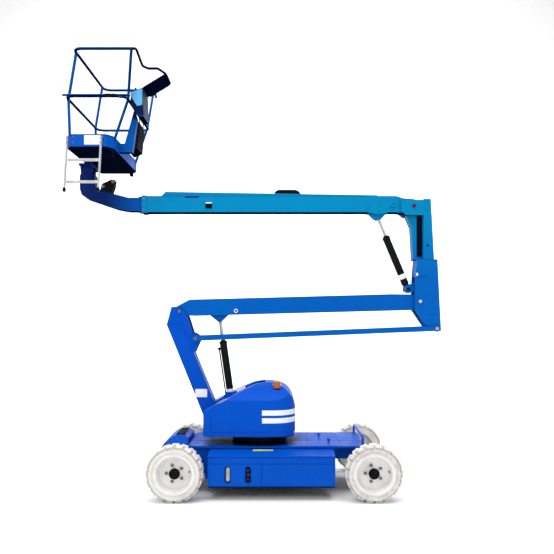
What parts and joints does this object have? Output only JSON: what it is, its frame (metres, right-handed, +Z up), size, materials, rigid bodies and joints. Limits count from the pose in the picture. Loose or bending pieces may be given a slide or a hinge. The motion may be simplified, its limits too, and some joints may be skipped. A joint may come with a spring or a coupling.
{
  "type": "articulating boom lift",
  "caption": "Self-propelled articulating boom lift: wheeled chassis, slewing turret with leaning post, lower boom, riser, telescopic upper boom and railed platform.",
  "frame": {"origin": "on the ground below the slew axis, at the middle of the machine's length and width", "axes": "+Z up, +X towards the riser and the steered wheels, -X towards the platform, Y across the machine"},
  "size_m": [3.97, 1.5, 4.605],
  "materials": {
    "blue_chassis": "semi-gloss blue paint",
    "blue_hood": "semi-gloss blue paint",
    "blue_boom": "semi-gloss blue paint",
    "fly_paint": "semi-gloss blue paint",
    "axle_black": "satin black paint",
    "barrel_black": "gloss black paint",
    "rod_chrome": "hard chrome",
    "tyre_white": "white non-marking rubber",
    "rim_white": "satin white paint",
    "rail_grey": "satin grey paint",
    "floor_paint": "satin grey paint",
    "console_plastic": "black moulded plastic",
    "ladder_aluminium": "bare aluminium",
    "amber_lens": "clear amber plastic"
  },
  "bodies": {
    "chassis": {"chassis_frame": "blue_chassis", "deck": "blue_chassis", "side_box_near": "blue_chassis", "side_box_far": "blue_chassis", "drive_cover": "blue_chassis", "drive_axle": "axle_black", "steer_axle": "axle_black", "slew_ring": "axle_black", "guard_loop": "rail_grey"},
    "turret": {"turret_frame": "blue_hood", "hood": "blue_hood", "beacon_base": "console_plastic", "beacon_lens": "amber_lens"},
    "lower_boom": {"lower_boom": "blue_boom"},
    "levelling_link": {"levelling_link": "blue_boom"},
    "riser": {"riser": "blue_boom"},
    "lift_barrel": {"lift_cylinder_barrel": "barrel_black"},
    "lift_rod": {"lift_cylinder_rod": "rod_chrome"},
    "upper_boom": {"upper_boom": "blue_boom", "cable_tray": "blue_boom"},
    "luff_barrel": {"luff_cylinder_barrel": "barrel_black"},
    "luff_rod": {"luff_cylinder_rod": "rod_chrome"},
    "fly_boom": {"fly_boom": "fly_paint", "level_bracket": "axle_black"},
    "platform_mount": {"platform_mount": "fly_paint"},
    "platform": {"platform_floor": "floor_paint", "guard_rails": "rail_grey", "console_guard": "rail_grey", "control_console": "console_plastic", "mesh_pocket": "console_plastic", "entry_ladder": "ladder_aluminium"},
    "entry_bar": {"entry_bar": "rail_grey"},
    "steer_knuckle_near": {"steer_knuckle_near": "axle_black"},
    "steer_knuckle_far": {"steer_knuckle_far": "axle_black"},
    "tie_rod": {"tie_rod": "axle_black"},
    "wheel_drive_near": {"tyre_drive_near": "tyre_white", "rim_drive_near": "rim_white"},
    "wheel_drive_far": {"tyre_drive_far": "tyre_white", "rim_drive_far": "rim_white"},
    "wheel_steer_near": {"tyre_steer_near": "tyre_white", "rim_steer_near": "rim_white"},
    "wheel_steer_far": {"tyre_steer_far": "tyre_white", "rim_steer_far": "rim_white"}
  },
  "joints": [
    {"name": "turret_slew", "type": "hinge", "parent": "chassis", "child": "turret", "pos_m": [0, 0, 0.57], "axis": [0, 0, 1], "range_deg": [-178, 178]},
    {"name": "lower_boom_lift", "type": "hinge", "parent": "turret", "child": "lower_boom", "pos_m": [-0.879, 0, 1.921], "axis": [0, -1, 0], "range_deg": [-21.5, 60]},
    {"name": "levelling_link_swing", "type": "hinge", "parent": "turret", "child": "levelling_link", "pos_m": [-0.699, 0, 1.625], "axis": [0, -1, 0], "range_deg": [-21.6, 60.1]},
    {"name": "riser_level", "type": "hinge", "parent": "lower_boom", "child": "riser", "pos_m": [1.756, 0, 2.028], "axis": [0, -1, 0], "range_deg": [-60.1, 21.6]},
    {"name": "lift_barrel_swing", "type": "hinge", "parent": "turret", "child": "lift_barrel", "pos_m": [-0.2964, 0, 0.8], "axis": [0, -1, 0], "range_deg": [-1, 2]},
    {"name": "lift_rod_stroke", "type": "slide", "parent": "lift_barrel", "child": "lift_rod", "axis": [-0.1416, 0, 0.9899], "range_m": [-0.155, 0.425]},
    {"name": "upper_boom_luff", "type": "hinge", "parent": "riser", "child": "upper_boom", "pos_m": [1.689, 0, 3.075], "axis": [0, -1, 0], "range_deg": [-65, 12]},
    {"name": "luff_barrel_swing", "type": "hinge", "parent": "riser", "child": "luff_barrel", "pos_m": [1.64, 0, 2.165], "axis": [0, -1, 0], "range_deg": [-13.5, 2.8]},
    {"name": "luff_rod_stroke", "type": "slide", "parent": "luff_barrel", "child": "luff_rod", "axis": [-0.3858, 0, 0.9226], "range_m": [-0.07, 0.37]},
    {"name": "boom_telescope", "type": "slide", "parent": "upper_boom", "child": "fly_boom", "axis": [-1, 0, 0], "range_m": [0, 2.2]},
    {"name": "platform_level", "type": "hinge", "parent": "fly_boom", "child": "platform_mount", "pos_m": [-1.905, 0, 3.42], "axis": [0, -1, 0], "range_deg": [-12.2, 65.2]},
    {"name": "platform_rotate", "type": "hinge", "parent": "platform_mount", "child": "platform", "pos_m": [-1.905, 0, 3.588], "axis": [0, 0, 1], "range_deg": [-45, 45]},
    {"name": "entry_bar_lift", "type": "hinge", "parent": "platform", "child": "entry_bar", "pos_m": [-1.86, -0.616, 4.106], "axis": [0, -1, 0], "range_deg": [0, 75]},
    {"name": "steer_near", "type": "hinge", "parent": "chassis", "child": "steer_knuckle_near", "pos_m": [1.162, -0.48, 0.285], "axis": [0, 0, 1], "range_deg": [-25, 25]},
    {"name": "steer_far", "type": "hinge", "parent": "chassis", "child": "steer_knuckle_far", "pos_m": [1.162, 0.48, 0.285], "axis": [0, 0, 1], "range_deg": [-25.1, 25.1]},
    {"name": "tie_rod_slide", "type": "slide", "parent": "chassis", "child": "tie_rod", "axis": [0, 1, 0], "range_m": [-0.053, 0.053]},
    {"name": "wheel_drive_near_spin", "type": "hinge", "parent": "chassis", "child": "wheel_drive_near", "pos_m": [-0.837, -0.65, 0.285], "axis": [0, 1, 0], "continuous": true},
    {"name": "wheel_drive_far_spin", "type": "hinge", "parent": "chassis", "child": "wheel_drive_far", "pos_m": [-0.837, 0.65, 0.285], "axis": [0, 1, 0], "continuous": true},
    {"name": "wheel_steer_near_spin", "type": "hinge", "parent": "steer_knuckle_near", "child": "wheel_steer_near", "pos_m": [1.162, -0.65, 0.285], "axis": [0, 1, 0], "continuous": true},
    {"name": "wheel_steer_far_spin", "type": "hinge", "parent": "steer_knuckle_far", "child": "wheel_steer_far", "pos_m": [1.162, 0.65, 0.285], "axis": [0, 1, 0], "continuous": true}
  ],
  "couplings": [
    {"joint": "levelling_link_swing", "follows": "lower_boom_lift", "ratio": 1},
    {"joint": "riser_level", "follows": "lower_boom_lift", "ratio": -1},
    {"joint": "lift_barrel_swing", "follows": "lower_boom_lift", "ratio": 0.02},
    {"joint": "lift_rod_stroke", "follows": "lower_boom_lift", "m_per_rad": 0.4},
    {"joint": "luff_barrel_swing", "follows": "upper_boom_luff", "ratio": 0.2},
    {"joint": "luff_rod_stroke", "follows": "upper_boom_luff", "m_per_rad": -0.32},
    {"joint": "platform_level", "follows": "upper_boom_luff", "ratio": -1},
    {"joint": "steer_far", "follows": "steer_near", "ratio": 1},
    {"joint": "tie_rod_slide", "follows": "steer_near", "m_per_rad": -0.12}
  ]
}
